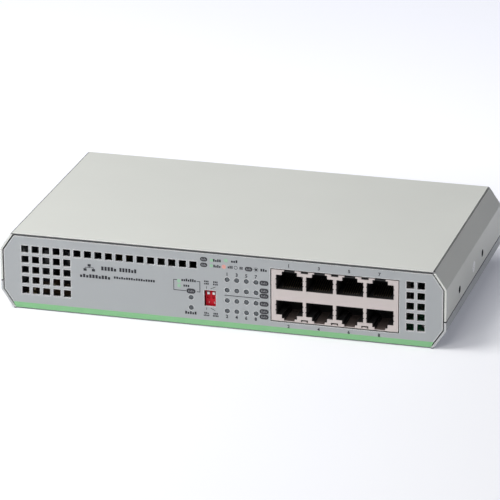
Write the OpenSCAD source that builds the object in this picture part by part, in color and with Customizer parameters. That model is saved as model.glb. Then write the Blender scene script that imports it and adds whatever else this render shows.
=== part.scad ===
// Desktop network switch: folded steel case, two rows of four modular jacks,
// an indicator field, a two-way slide switch and an integral mains supply.
// Millimetres. X runs to the right, the front panel faces -Y, Z is up.
// The origin is the middle of the footprint, on the surface it stands on.

/* [Case] */
// Overall width of the case
body_w = 209; // [207:0.5:212]
// Overall depth, from the front rim to the face of the mains inlet
body_d = 116.4; // [116:0.1:120]
// Overall height of the case
body_h = 37; // [36.5:0.5:39]
// Sideways reach of the upper bevel
top_bevel_w = 5.7; // [4.5:0.1:6.5]
// Height of the upper bevel
top_bevel_h = 8.4; // [7:0.1:9]
// Sideways reach of the lower bevel
low_bevel_w = 5.9; // [4.5:0.1:6.5]
// Height of the lower bevel
low_bevel_h = 8.7; // [7.5:0.1:9]
// Sheet thickness of the cover
cover_t = 0.9; // [0.7:0.1:1]
// Sheet thickness of the tray
tray_t = 1.0; // [0.8:0.1:1.2]
// Height of the joint line between cover and tray
seam_z = 13.2; // [12.8:0.1:13.6]
// How far the rear wall stands in from the cover's rear edge
rear_recess = 1.2; // [1:0.1:2]

/* [Vents] */
// Pitch of the square vent holes
vent_pitch = 5.0; // [4.5:0.1:5]
// Side of a square vent hole
vent_hole = 3.55; // [3:0.05:3.8]

/* [Jacks] */
// Pitch of the modular jacks
port_pitch = 13.97; // [13.8:0.01:13.97]
// Centre of the jack block, from the middle of the case
jack_x = 53.2; // [52:0.1:54]
// Width of the metal shield of the jack block
shield_w = 58.7; // [58.4:0.1:59]
// Height of the metal shield of the jack block
shield_h = 24.6; // [24.6:0.1:24.8]
// Width of one jack opening
port_w = 12.45; // [11.8:0.05:12.5]
// Height of one jack opening without its latch steps
port_h = 6.95; // [6.8:0.05:7]

/* [Indicators] */
// Diameter of an indicator hole in the panel
led_hole = 2.4; // [2.2:0.1:2.4]
// Sideways pitch of the port indicators
led_px = 4.5; // [4.4:0.05:4.6]
// Vertical pitch of the port indicators
led_pz = 5.05; // [4.9:0.05:5.1]

/* [Slide switch] */
// Travel of a slide actuator
dip_travel = 1.8; // [1:0.1:1.9]
// Pitch of the two actuators
dip_pitch = 2.54; // [2.5:0.01:2.54]

/* [Side holes] */
// Distance between the two bracket holes in a side
bracket_pitch = 48; // [46:0.5:50]
// Diameter of a bracket hole
bracket_hole = 3.5; // [3.2:0.1:4]

/* [Hidden] */

$fn = 48;
e = 0.01;
hw = body_w / 2;
yf = -body_d / 2;            // front rim of the case
yi = body_d / 2;             // face of the mains inlet
yb = yi - 1.2;               // rear edge of the cover
yp = yf + 0.2;               // outer face of the front panel
ypi = yp + tray_t;           // inner face of the front panel
yr = yb - rear_recess;       // outer face of the rear wall
yri = yr - tray_t;           // inner face of the rear wall
fold_r = 0.9;                // outside radius of the folds
rear_scr_z = 33;             // height of the rear cover screws
pan_i = 1.55;                // inset of the panel outline from the case outline
pcb_t = 1.6;
pcb_z = 4.6;
pcb_top = pcb_z + pcb_t;
jz = 18.5;                   // middle height of the jack block
row_z = 9.65;                // from jz to the outer edge of a row of openings
led_x0 = 3.2;
led_z0 = 23.65;
hole_z = 18.8;               // height of the holes in the sides
br1_y = yf + 27.3;
br2_y = br1_y + bracket_pitch;
scr_y = yf + 57;
crease_a = atan2(top_bevel_h, top_bevel_w) / 2; // half the turn of the upper fold
dip_x = -4.8;
inlet_x = -70;
inlet_z = 18.5;

// ---------- helpers ----------
function unit(v) = v / norm(v);
function len2(a, b) = sqrt(a * a + b * b);
function ix(w, h, i) = i * (1 - w / len2(w, h)) / (h / len2(w, h));
function iz(w, h, i) = i * (1 - h / len2(w, h)) / (w / len2(w, h));
// right-hand half of the case outline, moved in by i
function half_out(i) = [
  [hw - low_bevel_w - ix(low_bevel_w, low_bevel_h, i), i],
  [hw - i, low_bevel_h + iz(low_bevel_w, low_bevel_h, i)],
  [hw - i, body_h - top_bevel_h - iz(top_bevel_w, top_bevel_h, i)],
  [hw - top_bevel_w - ix(top_bevel_w, top_bevel_h, i), body_h - i]];
function sharp(i) = concat(half_out(i), [for (k = [3:-1:0]) [-half_out(i)[k][0], half_out(i)[k][1]]]);
// every corner of polygon p rounded with radius r in n steps
function rounded(p, r, n = 6) = [for (i = [0:len(p) - 1]) let (
    b = p[i], u = unit(p[(i + len(p) - 1) % len(p)] - b), v = unit(p[(i + 1) % len(p)] - b),
    h = acos(u * v) / 2, c = b + unit(u + v) * (r / sin(h)),
    e0 = unit(b + u * (r / tan(h)) - c), e1 = unit(b + v * (r / tan(h)) - c), g = 180 - 2 * h)
  for (k = [0:n]) c + r * (sin((1 - k / n) * g) * e0 + sin(k / n * g) * e1) / sin(g)];
function outline(i) = rounded(sharp(i), max(fold_r - i, 0.4));

module box(a, b) translate(a) cube([b[0] - a[0], b[1] - a[1], b[2] - a[2]]);
// 2-D children stand in XZ and run from y0 to y1
module along_y(y0, y1) translate([0, y1, 0]) rotate([90, 0, 0]) linear_extrude(y1 - y0) children();
// 2-D children are (Y, Z) and run from x0 to x1
module along_x(x0, x1) translate([x0, 0, 0]) rotate([90, 0, 90]) linear_extrude(x1 - x0) children();
module rod_y(x, z, y0, y1, r) translate([x, y0, z]) rotate([-90, 0, 0]) cylinder(h = y1 - y0, r = r);
module rod_x(y, z, x0, x1, r) translate([x0, y, z]) rotate([0, 90, 0]) cylinder(h = x1 - x0, r = r);
module rod_z(x, y, z0, z1, r) translate([x, y, z0]) cylinder(h = z1 - z0, r = r);
module both() { children(); mirror([1, 0, 0]) children(); }
// A wire is one tube swept along a smooth curve through its points.
function spline(p, n) = concat([for (i = [0:len(p) - 2], k = [0:n - 1]) let (
    t = k / n, a = p[max(i - 1, 0)], b = p[i], c = p[i + 1], d = p[min(i + 2, len(p) - 1)])
    0.5 * (2 * b + (c - a) * t + (2 * a - 5 * b + 4 * c - d) * t * t + (3 * b - a - 3 * c + d) * t * t * t)],
  [p[len(p) - 1]]);
function tang(p, i) = i == 0 ? unit(p[1] - p[0]) : i == len(p) - 1 ? unit(p[i] - p[i - 1])
  : unit(unit(p[i + 1] - p[i]) + unit(p[i] - p[i - 1]));
// side vector of each ring, carried along the curve without twist
function sides(p, i = 0, u = [0.31, 0.77, 0.55]) = i == len(p) ? [] :
  let (t = tang(p, i), w = unit(u - (u * t) * t)) concat([w], sides(p, i + 1, w));
module wire(pts, r, sub = 3, n = 8) {
  p = spline(pts, sub);
  u = sides(p);
  m = len(p);
  v = [for (i = [0:m - 1], k = [0:n - 1]) let (t = tang(p, i)) p[i] + r * (cos(k * 360 / n) * u[i] + sin(k * 360 / n) * cross(t, u[i]))];
  f = concat([[for (k = [0:n - 1]) k]], [[for (k = [n - 1:-1:0]) (m - 1) * n + k]],
    [for (i = [0:m - 2], k = [0:n - 1]) [i * n + k, (i + 1) * n + k, (i + 1) * n + (k + 1) % n]],
    [for (i = [0:m - 2], k = [0:n - 1]) [i * n + k, (i + 1) * n + (k + 1) % n, i * n + (k + 1) % n]]);
  polyhedron(v, f, convexity = 6);
}
function port_x(i) = jack_x + (i - 1.5) * port_pitch;

// ---------- case ----------
module vent(x, z, y0, y1) box([x - vent_hole, y0, z - vent_hole], [x, y1, z]);

module front_cuts() {
  y0 = yp - 1; y1 = ypi + 1;
  for (c = [0:16], r = [0:4]) if (r == 0 || c < 5) vent(-91 + c * vent_pitch, 31.05 - r * vent_pitch, y0, y1);
  for (c = [0:1], r = [0:4]) vent(89.7 + c * vent_pitch, 31.05 - r * vent_pitch, y0, y1);
  for (c = [0:3], r = [0:3]) rod_y(led_x0 + c * led_px, led_z0 - r * led_pz, y0, y1, led_hole / 2);
  for (z = [13.46, 8.47]) rod_y(-13.8, z, y0, y1, led_hole / 2);
  box([-7.65, y0, 9.9], [-2.15, y1, 17.7]);
  box([jack_x - shield_w / 2 - 0.5, y0, jz - shield_h / 2 - 0.6], [jack_x + shield_w / 2 + 0.4, y1, jz + shield_h / 2 + 0.45]);
}

module rear_cuts() {
  y0 = yri - 1; y1 = yr + 1;
  box([inlet_x - 13.7, y0, inlet_z - 9.8], [inlet_x + 13.7, y1, inlet_z + 9.8]);
  for (s = [-1, 1]) rod_y(inlet_x + s * 20, inlet_z, y0, y1, 1.7);
  for (s = [-1, 1]) rod_y(s * 78, rear_scr_z, y0, y1, 1.5);
  for (c = [0:13], r = [0:2]) vent(25 + c * vent_pitch, 26.05 - r * vent_pitch, y0, y1);
}

module base_tray() color([0.72, 0.73, 0.75]) difference() {
  union() {
    // bottom, lower bevels and side strips
    intersection() {
      along_y(yf, yb) difference() { polygon(outline(0)); polygon(outline(tray_t)); }
      box([-hw - 1, yf - 1, -1], [hw + 1, yb + 1, seam_z - 0.2]);
    }
    // front panel, folded up from the bottom
    along_y(yp, ypi) polygon(outline(pan_i));
    box([-hw + low_bevel_w + 0.9, yp, 0], [hw - low_bevel_w - 0.9, ypi, 4]);
    // rear wall
    along_y(yri, yr) polygon(outline(pan_i));
    box([-hw + low_bevel_w + 0.9, yri, 0], [hw - low_bevel_w - 0.9, yr, 4]);
    // stiffening flanges along the tops of the walls
    box([-90, yp, body_h - pan_i - tray_t], [90, yp + 7, body_h - pan_i]);
    box([-90, yr - 7, body_h - pan_i - tray_t], [90, yr, body_h - pan_i]);
    // joggled side flanges that lie inside the cover
    both() {
      box([hw - cover_t - 0.2 - tray_t, yf + 9, 10.5], [hw - cover_t - 0.2, yri - 6, 24]);
      box([hw - cover_t - 0.2 - tray_t, yf + 9, 10.5], [hw - 0.5, yri - 6, 12]);
    }
  }
  front_cuts();
  rear_cuts();
  // the panel is set back a little behind the rims
  box([-hw + low_bevel_w + 0.9, yf - 1, -1], [hw - low_bevel_w - 0.9, yp, tray_t + 0.3]);
  // relief slits where the panel's lower corners leave the bevels
  both() box([hw - low_bevel_w + 0.1, yf - 1, -1], [hw - low_bevel_w + 0.5, yp + tray_t + 0.5, 0.9]);
  // outside radius of the front fold
  difference() {
    box([-hw, yp - 1, -1], [hw, yp + 0.8, 0.8]);
    rod_x(yp + 0.8, 0.8, -hw - 1, hw + 1, 0.8);
    both() box([hw - low_bevel_w - 0.9, yf - 2, -2], [hw + 1, yp + 2, 2]);
  }
  both() {
    for (y = [br1_y, br2_y]) rod_x(y, hole_z, hw - 4, hw + 1, bracket_hole / 2);
    rod_x(scr_y, hole_z, hw - 4, hw + 1, 1.5);
  }
}

module top_cover() color([0.83, 0.83, 0.81]) difference() {
  union() {
    intersection() {
      along_y(yf, yb) difference() { polygon(outline(0)); polygon(outline(cover_t)); }
      box([-hw - 1, yf - 1, seam_z + 0.2], [hw + 1, yb + 1, body_h + 1]);
    }
    // lip folded down behind the rear wall
    box([-90, yb - cover_t, 30.2], [90, yb, body_h - 0.4]);
  }
  both() {
    for (y = [br1_y, br2_y]) rod_x(y, hole_z, hw - 3, hw + 1, bracket_hole / 2);
    rod_x(scr_y, hole_z, hw - 3, hw + 1, 1.7);
    translate([hw - cover_t - e, scr_y, hole_z]) rotate([0, 90, 0]) cylinder(h = cover_t + 2 * e, r1 = 1.7, r2 = 2.75);
  }
  for (s = [-1, 1]) rod_y(s * 78, rear_scr_z, yb - 2, yb + 1, 1.7);
  // scored crease along each upper fold
  both() translate([hw - top_bevel_w, 0, body_h]) rotate([0, crease_a, 0]) box([-0.22, yf + 1.2, -0.5], [0.22, yb + 1, 2]);
}

// cross recess for a small screw, cut downwards from z = 0
module cross(w, d) for (a = [0, 90]) rotate([0, 0, a]) translate([-w / 2, -0.28, -d]) cube([w, 0.56, d + 1]);

// countersunk screw with its flat face at z = 0
module flat_screw(l, r, rh, hh) difference() {
  union() {
    translate([0, 0, -hh]) cylinder(h = hh, r1 = r, r2 = rh);
    translate([0, 0, -l]) cylinder(h = l - hh + e, r = r);
  }
  cross(2.8, 0.8);
}

// pan-head screw seated at z = 0
module pan_screw(l, r, rh, hh) difference() {
  union() {
    cylinder(h = hh * 0.55, r = rh);
    translate([0, 0, hh * 0.55]) cylinder(h = hh * 0.45, r1 = rh, r2 = rh * 0.72);
    translate([0, 0, -l]) cylinder(h = l + e, r = r);
  }
  translate([0, 0, hh]) cross(2.8, 0.8);
}

module cover_screws() color([0.80, 0.80, 0.80]) both()
  translate([hw - 0.05, scr_y, hole_z]) rotate([0, 90, 0]) flat_screw(5.5, 1.4, 2.6, 0.85);

module rear_cover_screws() color([0.80, 0.80, 0.80]) for (s = [-1, 1])
  translate([s * 78, yb + 0.02, rear_scr_z]) rotate([-90, 0, 0]) pan_screw(5.5, 1.4, 2.6, 1.1);

// ---------- main board ----------
main_holes = [[-19, 5], [94, 5], [94, -50], [-19, -50]];
psu_holes = [[-95, -43], [-39, -43], [-95, 23], [-39, 23]];

module board(x0, x1, y0, y1, holes) difference() {
  translate([0, 0, pcb_z]) linear_extrude(pcb_t) difference() {
    translate([x0, y0]) square([x1 - x0, y1 - y0]);
    for (h = holes) translate(h) circle(r = 1.6);
  }
}
module main_pcb() color([0.05, 0.35, 0.17]) board(-24, 99.3, yf + 1.6, 12, main_holes);

module board_standoffs() color([0.78, 0.68, 0.36]) for (h = concat(main_holes, psu_holes))
  translate([h[0], h[1], tray_t]) difference() {
    cylinder(h = pcb_z - tray_t, r = 2.9, $fn = 6);
    translate([0, 0, 0.8]) cylinder(h = 10, r = 1.3);
  }

module board_screws() color([0.80, 0.80, 0.80]) for (h = concat(main_holes, psu_holes))
  translate([h[0], h[1], pcb_top]) pan_screw(4.2, 1.25, 2.6, 1.9);

// opening of one jack, latch side up
module port_2d(w, h, n1, n2) {
  translate([-w / 2, -h]) square([w, h]);
  translate([-n1 / 2, -1]) square([n1, 2.7]);
  translate([-n2 / 2, 0]) square([n2, 4.2]);
}
module ports_2d(w, h, n1, n2) for (i = [0:3]) translate([port_x(i), jz]) {
  translate([0, row_z + 0.25]) port_2d(w, h, n1, n2);
  mirror([0, 1]) translate([0, row_z - 0.35]) port_2d(w, h, n1, n2);
}

// small round notches in the upright edges of the openings
module bites_2d(w) for (i = [0:3], k = [2.1, 4.65], s = [-1, 1]) translate([port_x(i) + s * w / 2, jz]) {
  translate([0, row_z + 0.25 - k]) circle(r = 0.34);
  translate([0, -row_z + 0.35 + k]) circle(r = 0.34);
}

module jack_shield() color([0.80, 0.77, 0.76]) {
  x0 = jack_x - shield_w / 2; x1 = jack_x + shield_w / 2;
  z0 = jz - shield_h / 2; z1 = jz + shield_h / 2;
  t = 0.3;
  difference() {
    box([x0, yp, z0], [x1, yp + 24.8, z1]);
    box([x0 + t, yp + t, z0 - 1], [x1 - t, yp + 24.8 - t, z1 - t]);
    along_y(yp - 1, yp + 1.6) intersection() {
      union() { ports_2d(port_w, port_h, 7.1, 5.0); bites_2d(port_w); }
      translate([x0 + 0.5, z0 - 1]) square([shield_w - 1, shield_h + 2]);
    }
    // slots for the spring fingers between the jacks
    for (i = [0:2]) translate([port_x(i) + port_pitch / 2, 0, 0]) {
      box([-1.7, yp - 1, z1 - 0.95], [1.7, yp + 1.2, z1 + 1]);
      // slots round the earthing tongues below
      difference() {
        box([-1.65, yp - 1, z0 + 0.25], [1.65, yp + t + e, z0 + 1.45]);
        box([-1.0, yp - 2, z0 - 1], [1.0, yp + 1, z0 + 0.8]);
      }
    }
  }
  // lip folded back along the bottom
  box([x0 + e, yp, z0], [x1 - e, yp + 0.55, z0 + 0.25]);
}

module jack_housing() color([0.06, 0.06, 0.065]) {
  x0 = jack_x - shield_w / 2 + 0.35; x1 = jack_x + shield_w / 2 - 0.35;
  z0 = jz - shield_h / 2 + 0.02; z1 = jz + shield_h / 2 - 0.35;
  difference() {
    box([x0, yp + 0.6, z0], [x1, yp + 24.4, z1]);
    along_y(yp, yp + 13.2) intersection() {
      ports_2d(port_w - 0.55, port_h - 0.1, 6.4, 4.6);
      translate([x0 + 1, z0 + 0.6]) square([x1 - x0 - 2, z1 - z0 - 1.2]);
    }
    // slots that carry the contact springs along the floors of the cavities
    for (i = [0:3], k = [0:7], s = [-1, 1]) translate([port_x(i) + (k - 3.5) * 1.02, 0, jz])
      box([-0.3, yp + 2.4, s > 0 ? 2.2 : -3.6], [0.3, yp + 13.2, s > 0 ? 3.6 : -1.7]);
  }
}

// one spring contact, drawn over the floor of a cavity; k is its place in the row
module contact_2d() polygon([[yp + 2.6, 0.25], [yp + 3.4, 0.25], [yp + 9.6, 2.0], [yp + 13.0, 2.0], [yp + 13.0, 2.3], [yp + 9.5, 2.3], [yp + 3.3, 0.55], [yp + 2.6, 0.55]]);
module jack_contacts() color([0.85, 0.70, 0.30]) for (i = [0:3], k = [0:7]) {
  x = port_x(i) + (k - 3.5) * 1.02;
  translate([0, 0, jz + 2.9]) along_x(x - 0.2, x + 0.2) contact_2d();
  translate([0, 0, jz - 2.3]) mirror([0, 0, 1]) along_x(x - 0.2, x + 0.2) contact_2d();
}

module magnetics_modules() color([0.08, 0.08, 0.09]) for (i = [0:3]) translate([port_x(i), 0, pcb_top]) {
  box([-6, -31, 0.5], [6, -15, 6.1]);
  for (s = [-1, 1], k = [0:5]) box([k * 1.9 - 5.1, s > 0 ? -15.5 : -32, 0], [k * 1.9 - 4.5, s > 0 ? -14 : -30.5, 0.6]);
}

// ---------- indicators ----------
module port_led_holder() color([0.07, 0.07, 0.07]) difference() {
  box([1, ypi + 0.3, pcb_top], [led_x0 + 3 * led_px + 2.2, ypi + 8, led_z0 + 2.4]);
  for (c = [0:3], r = [0:3]) rod_y(led_x0 + c * led_px, led_z0 - r * led_pz, ypi, ypi + 5, 1.15);
}
module lens(x, z) {
  rod_y(x, z, yp + 0.45, ypi + 4.9, 1.1);
  translate([x, yp + 0.45, z]) rotate([90, 0, 0]) cylinder(h = 0.25, r1 = 1.1, r2 = 0.7);
}
module port_led_lenses() color([0.45, 0.47, 0.48]) for (c = [0:3], r = [0:3]) lens(led_x0 + c * led_px, led_z0 - r * led_pz);
module status_led_holder() color([0.07, 0.07, 0.07]) difference() {
  box([-16, ypi + 0.3, pcb_top], [-11.6, ypi + 7, 15.9]);
  for (z = [13.46, 8.47]) rod_y(-13.8, z, ypi, ypi + 5, 1.15);
}
module status_led_lenses() color([0.45, 0.47, 0.48]) for (z = [13.46, 8.47]) lens(-13.8, z);

// ---------- two-way slide switch ----------
dip_y = ypi + 1.0;          // front face of its body
dip_top = 16.55;            // top of the actuator slots
act_h = 1.1;
module dip_switch_body() color([0.70, 0.10, 0.13]) difference() {
  box([dip_x - 2.7, dip_y, 7.3], [dip_x + 2.7, dip_y + 5.4, 19.1]);
  for (s = [-1, 1]) box([dip_x + s * dip_pitch / 2 - 0.8, dip_y - 1, dip_top - act_h - dip_travel - 0.7], [dip_x + s * dip_pitch / 2 + 0.8, dip_y + 0.7, dip_top]);
}
module actuator(s) box([dip_x + s * dip_pitch / 2 - 0.55, dip_y - 0.5, dip_top - 0.3 - act_h], [dip_x + s * dip_pitch / 2 + 0.55, dip_y + 0.4, dip_top - 0.3]);
module dip_actuator_1() color([0.93, 0.93, 0.92]) actuator(-1);
module dip_actuator_2() color([0.93, 0.93, 0.92]) actuator(1);
module dip_switch_pins() color([0.78, 0.78, 0.78]) for (s = [-1, 1], k = [0, 1])
  box([dip_x + s * dip_pitch / 2 - 0.25, dip_y + 1.2 + k * 2.6, pcb_top], [dip_x + s * dip_pitch / 2 + 0.25, dip_y + 1.7 + k * 2.6, 7.3]);

// ---------- chips and small parts ----------
module switch_chip() color([0.10, 0.10, 0.11]) {
  box([30, -10, pcb_top + 0.1], [50, 10, pcb_top + 1.5]);
  for (k = [0:15]) {
    for (x = [29, 49.5]) box([x, k * 1.2 - 9.2, pcb_top], [x + 1.5, k * 1.2 - 8.8, pcb_top + 0.4]);
  }
}
module chip_heatsink() color([0.62, 0.64, 0.66]) {
  box([27, -12, pcb_top + 1.5], [53, 11, pcb_top + 3.5]);
  for (k = [0:7]) box([27 + k * 3.5, -12, pcb_top + 3.5 - e], [28.5 + k * 3.5, 11, pcb_top + 13]);
}
module flash_chip() color([0.10, 0.10, 0.11]) {
  box([60, -6, pcb_top + 0.1], [65, 0, pcb_top + 1.6]);
  for (k = [0:3]) for (x = [59.2, 64.5]) box([x, k * 1.27 - 5.1, pcb_top], [x + 1.3, k * 1.27 - 4.7, pcb_top + 0.4]);
}
module crystal() color([0.78, 0.78, 0.80]) translate([0, 0, pcb_top]) linear_extrude(3.5)
  union() { translate([60, 3]) square([7, 4.5]); for (x = [60, 67]) translate([x, 5.25]) circle(r = 2.25); }
module can(x, y, r, h) {
  rod_z(x, y, pcb_top, pcb_top + h - 0.6, r);
  translate([x, y, pcb_top + h - 0.6]) cylinder(h = 0.6, r1 = r, r2 = r - 0.6);
}
module board_capacitors() color([0.72, 0.73, 0.75]) for (p = [[-12, -38], [-12, -27], [0, -38], [78, 0]]) can(p[0], p[1], 4, 10);
module power_inductor() color([0.16, 0.16, 0.17]) difference() {
  box([-6, -20, pcb_top], [6, -8, pcb_top + 6]);
  rod_z(0, -14, pcb_top + 4.5, pcb_top + 7, 4);
}
module regulator_chip() color([0.10, 0.10, 0.11]) {
  box([12, -17, pcb_top + 0.1], [17, -12.5, pcb_top + 1.7]);
  for (k = [0:3]) for (y = [-17.9, -12.9]) box([k * 1.27 + 12.4, y, pcb_top], [k * 1.27 + 12.9, y + 1.3, pcb_top + 0.4]);
}
module chip_resistors() color([0.22, 0.20, 0.19]) {
  for (k = [0:7]) box([31 + k * 5, -34 + 19.6 + 1.2, pcb_top], [32 + k * 5, -34 + 21.6 + 0.2, pcb_top + 0.6]);
  for (k = [0:5]) box([22, k * 3 - 8, pcb_top], [24, k * 3 - 7, pcb_top + 0.6]);
}
module header(x, y0, y1) difference() {
  box([x - 3, y0, pcb_top], [x + 3, y1, pcb_top + 7]);
  box([x - 2.2, y0 + 0.8, pcb_top + 1.5], [x + 2.2, y1 - 0.8, pcb_top + 8]);
}
module main_dc_header() color([0.90, 0.88, 0.80]) header(-18, -20, -8);
module psu_dc_header() color([0.90, 0.88, 0.80]) header(-38.5, -20, -8);
module dc_plugs() color([0.93, 0.92, 0.86]) for (x = [-18, -38.5]) box([x - 2.1, -19.1, pcb_top + 1.6], [x + 2.1, -8.9, pcb_top + 9]);
module dc_wires() color([0.75, 0.12, 0.10]) for (k = [0:3]) {
  y = -17.6 + k * 2.4;
  wire([[-38.5, y, pcb_top + 9], [-38.5, y, pcb_top + 13], [-34, y, pcb_top + 16], [-22.5, y, pcb_top + 16], [-18, y, pcb_top + 13], [-18, y, pcb_top + 9]], 0.75);
}

// ---------- mains supply ----------
module psu_pcb() color([0.62, 0.50, 0.27]) board(-99.3, -34, -48, 28, psu_holes);
module insulation_sheet() color([0.90, 0.90, 0.86]) translate([0, 0, tray_t + 0.2]) linear_extrude(0.3) difference() {
  translate([-97.5, -49]) square([65.5, 79]);
  for (h = psu_holes) translate(h) circle(r = 3.6);
}
module transformer_core() color([0.20, 0.20, 0.21]) difference() {
  box([-75, -18, pcb_top + 1], [-49, -6, pcb_top + 21]);
  box([-71, -20, pcb_top + 5], [-65.5, -4, pcb_top + 17]);
  box([-58.5, -20, pcb_top + 5], [-53, -4, pcb_top + 17]);
}
module transformer_winding() color([0.86, 0.72, 0.20]) difference() {
  box([-70.8, -23, pcb_top + 5.2], [-53.2, -1, pcb_top + 16.8]);
  box([-65.7, -24, pcb_top + 4], [-58.3, -18.2 + 0, pcb_top + 4.1]);
  box([-65.6, -18.1, pcb_top + 5], [-58.4, -5.9, pcb_top + 17]);
}
module bulk_capacitor() color([0.10, 0.13, 0.28]) can(-87, -10, 9, 25);
module emi_choke_core() color([0.25, 0.32, 0.25]) translate([-67, 10, pcb_top + 9]) rotate([90, 0, 0])
  rotate_extrude() translate([4.2, -3]) square([4, 6]);
module emi_choke_windings() color([0.72, 0.40, 0.18]) translate([-67, 10, pcb_top + 9]) for (s = [-1, 1]) difference() {
  box([s > 0 ? 0.9 : -8.9, -4, -6.0], [s > 0 ? 8.9 : -0.9, 4, 6.0]);
  rotate([90, 0, 0]) translate([0, 0, -5]) cylinder(h = 10, r = 3.4);
  rotate([90, 0, 0]) translate([0, 0, -3.1]) cylinder(h = 6.2, r = 8.3);
}
module x_capacitor() color([0.88, 0.74, 0.22]) box([-96, 5, pcb_top], [-78.5, 13, pcb_top + 12]);
module fuse() color([0.80, 0.86, 0.86]) rod_x(22, pcb_top + 4, -77, -57, 2.5);
module fuse_clips() color([0.78, 0.66, 0.36]) for (x = [-77, -61]) difference() {
  box([x, 18.8, pcb_top], [x + 4, 25.2, pcb_top + 6]);
  rod_x(22, pcb_top + 4, x - 1, x + 5, 2.55);
  box([x - 1, 20.6, pcb_top + 4], [x + 5, 23.4, pcb_top + 7]);
}
module bridge_rectifier() color([0.10, 0.10, 0.11]) {
  box([-55, 8, pcb_top + 3], [-40, 12, pcb_top + 15]);
  for (k = [0:3]) box([-54 + k * 4, 9.6, pcb_top], [-53.2 + k * 4, 10.4, pcb_top + 3.1]);
}
module psu_heatsink() color([0.66, 0.68, 0.70]) {
  box([-45, -30, pcb_top], [-43.4, -1, pcb_top + 21]);
  box([-45, -30, pcb_top + 19.4], [-37, -1, pcb_top + 21]);
}
module switching_transistor() color([0.10, 0.10, 0.11]) {
  box([-48.4, -28.5, pcb_top + 5], [-45, -19.5, pcb_top + 18]);
  for (k = [0:2]) box([-47, -26.7 + k * 2.54, pcb_top], [-46.3, -26 + k * 2.54, pcb_top + 5.1]);
}
module output_capacitors() color([0.12, 0.25, 0.20]) for (p = [[-90, -33], [-78, -33], [-66, -33]]) can(p[0], p[1], 5, 16);
module output_inductor() color([0.75, 0.42, 0.18]) translate([-54, -38, pcb_top]) difference() {
  cylinder(h = 7, r = 7.5);
  translate([0, 0, -1]) cylinder(h = 9, r = 3);
}
module ac_header() color([0.92, 0.92, 0.90]) box([-91.8, 17.5, pcb_top], [-81.5, 25.5, pcb_top + 8]);

// ---------- mains inlet ----------
module inlet_2d(w, h, c) polygon([[-w / 2, -h / 2], [w / 2, -h / 2], [w / 2, h / 2 - c], [w / 2 - c, h / 2], [-w / 2 + c, h / 2], [-w / 2, h / 2 - c]]);
module ac_inlet_body() color([0.07, 0.07, 0.075]) difference() {
  union() {
    along_y(yr, yi) translate([inlet_x, inlet_z]) hull() {
      square([30, 22.6], center = true);
      for (s = [-1, 1]) translate([s * 20, 0]) circle(r = 5, $fn = 32);
    }
    along_y(34, yr + e) translate([inlet_x, inlet_z]) square([27, 19.2], center = true);
  }
  along_y(43, yi + 1) translate([inlet_x, inlet_z]) inlet_2d(24.2, 16.2, 4.2);
  for (s = [-1, 1]) {
    rod_y(inlet_x + s * 20, inlet_z, yr - 1, yi + 1, 1.7);
    translate([inlet_x + s * 20, yi - 1.6, inlet_z]) rotate([-90, 0, 0]) cylinder(h = 1.7, r1 = 1.7, r2 = 3.1);
  }
  for (p = [[-7, -2], [7, -2], [0, 2]]) box([inlet_x + p[0] - 1.05, 33, inlet_z + p[1] - 2.05], [inlet_x + p[0] + 1.05, 44, inlet_z + p[1] + 2.05]);
}
module ac_inlet_pins() color([0.80, 0.80, 0.78]) for (p = [[-7, -2, 14.2], [7, -2, 14.2], [0, 2, 15.2]]) {
  box([inlet_x + p[0] - 1, 34, inlet_z + p[1] - 2], [inlet_x + p[0] + 1, 42 + p[2], inlet_z + p[1] + 2]);
  box([inlet_x + p[0] - 0.4, 28, inlet_z + p[1] - 2], [inlet_x + p[0] + 0.4, 34 + e, inlet_z + p[1] + 2]);
}
module ac_inlet_screws() color([0.80, 0.80, 0.80]) for (s = [-1, 1])
  translate([inlet_x + s * 20, yi - 0.1, inlet_z]) rotate([-90, 0, 0]) flat_screw(9, 1.45, 2.9, 1.5);
module ac_inlet_nuts() color([0.78, 0.78, 0.76]) for (s = [-1, 1])
  translate([inlet_x + s * 20, yri, inlet_z]) rotate([90, 0, 0]) difference() { cylinder(h = 2.3, r = 3.1, $fn = 6); translate([0, 0, -1]) cylinder(h = 5, r = 1.5); }
module line_wire() color([0.40, 0.22, 0.12]) wire([[-77, 27.95, 16.5], [-77, 26, 16.5], [-81, 23.5, 19.5], [-84.5, 22, 19], [-84.5, 21.5, pcb_top + 8]], 0.9);
module neutral_wire() color([0.15, 0.30, 0.65]) wire([[-63, 27.95, 16.5], [-63, 26, 16.5], [-65.5, 20.5, 15.5], [-76, 18.8, 15.2], [-84.5, 18.6, 16], [-89.3, 19.5, 17.5], [-89.5, 21.5, 16.3], [-89.5, 21.5, pcb_top + 8]], 0.9);
module earth_wire() color([0.35, 0.62, 0.20]) wire([[-70, 27.95, 20.5], [-70, 26, 20.5], [-69.5, 24.8, 24.5], [-62, 27, 28.5], [-52, 32, 25], [-48, 38, 15], [-48, 38, 9.2]], 0.9);
module earth_stud() color([0.78, 0.78, 0.76]) {
  rod_z(-48, 38, tray_t, 9.2, 1.9);
  translate([-48, 38, 3]) cylinder(h = 3, r = 3.9, $fn = 6);
}

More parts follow.
